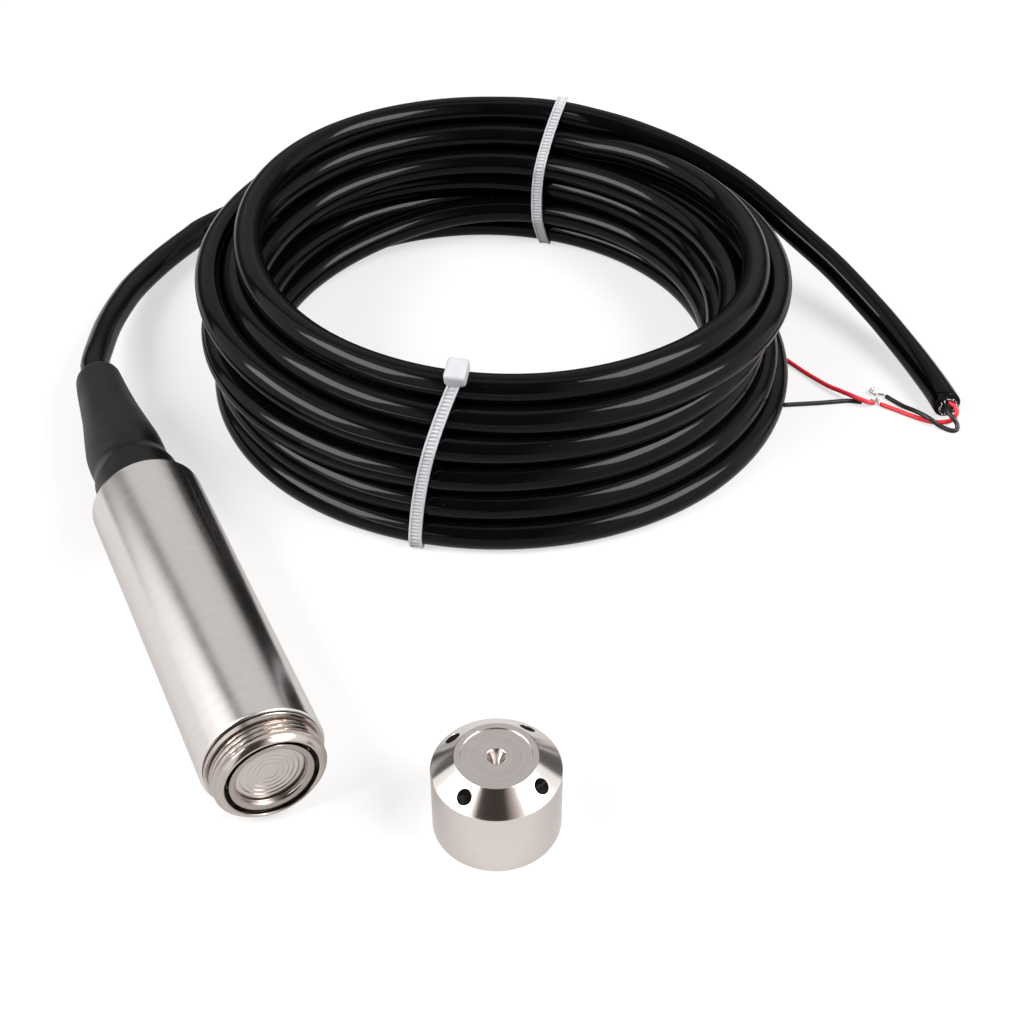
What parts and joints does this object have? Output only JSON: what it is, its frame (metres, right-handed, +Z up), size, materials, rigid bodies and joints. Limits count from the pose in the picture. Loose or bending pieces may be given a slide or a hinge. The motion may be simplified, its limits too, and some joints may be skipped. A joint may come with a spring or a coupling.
{
  "type": "submersible level transmitter",
  "caption": "Stainless submersible probe with a threaded nose and flush diaphragm, a separate guard cap, a cable boot and a tied coil of vented cable.",
  "frame": {"origin": "on the floor under the middle of the box round the probe and the guard cap, the cable left out", "axes": "+Y along the probe from its nose to its cable, +Z up from the floor the object lies on, +X from the probe towards the guard cap and the coil"},
  "size_m": [0.2397, 0.2812, 0.0493],
  "materials": {
    "turned_steel": "fine turned satin",
    "bright_steel": "bright turned",
    "foil": "satin foil",
    "seal_rubber": "matte black",
    "cable_jacket": "glossy black polyurethane",
    "boot_sleeve": "matte charcoal polyolefin",
    "tie_nylon": "translucent natural nylon",
    "red_insulation": "red insulation",
    "black_insulation": "black insulation",
    "tinned_copper": "tinned strands",
    "board_laminate": "green laminate",
    "blue_plastic": "blue plastic",
    "green_plastic": "green plastic",
    "sealing_glass": "dark fused glass",
    "gold_plate": "plated"
  },
  "bodies": {
    "root": {"housing_tube": "turned_steel", "sensor_core": "turned_steel", "sensor_lock_ring": "turned_steel", "rear_plug": "turned_steel", "gland_nut": "turned_steel", "guard_cap": "turned_steel", "sensor_holder": "bright_steel", "weld_ring": "bright_steel", "gland_washer": "bright_steel", "terminal_screw_1": "bright_steel", "terminal_screw_2": "bright_steel", "diaphragm": "foil", "holder_o_ring": "seal_rubber", "sensor_o_ring": "seal_rubber", "rear_o_ring": "seal_rubber", "gland_seal": "seal_rubber", "inner_cable": "cable_jacket", "cable_lead": "cable_jacket", "cable_coil": "cable_jacket", "cable_tail": "cable_jacket", "strain_relief_boot": "boot_sleeve", "front_tie": "tie_nylon", "rear_tie": "tie_nylon", "breather_tube": "tie_nylon", "supply_wire_red": "red_insulation", "red_wire": "red_insulation", "red_wire_tip": "red_insulation", "supply_wire_black": "black_insulation", "black_wire": "black_insulation", "black_wire_tip": "black_insulation", "amplifier_chip": "black_insulation", "protection_diode": "black_insulation", "reference_tube": "tinned_copper", "red_strands": "tinned_copper", "black_strands": "tinned_copper", "shield_braid": "tinned_copper", "circuit_board": "board_laminate", "zero_trimmer": "blue_plastic", "span_trimmer": "blue_plastic", "terminal_block": "green_plastic", "glass_header": "sealing_glass", "header_pin_1": "gold_plate", "header_pin_2": "gold_plate", "header_pin_3": "gold_plate", "header_pin_4": "gold_plate", "loop_capacitor": "gold_plate"}
  },
  "joints": []
}
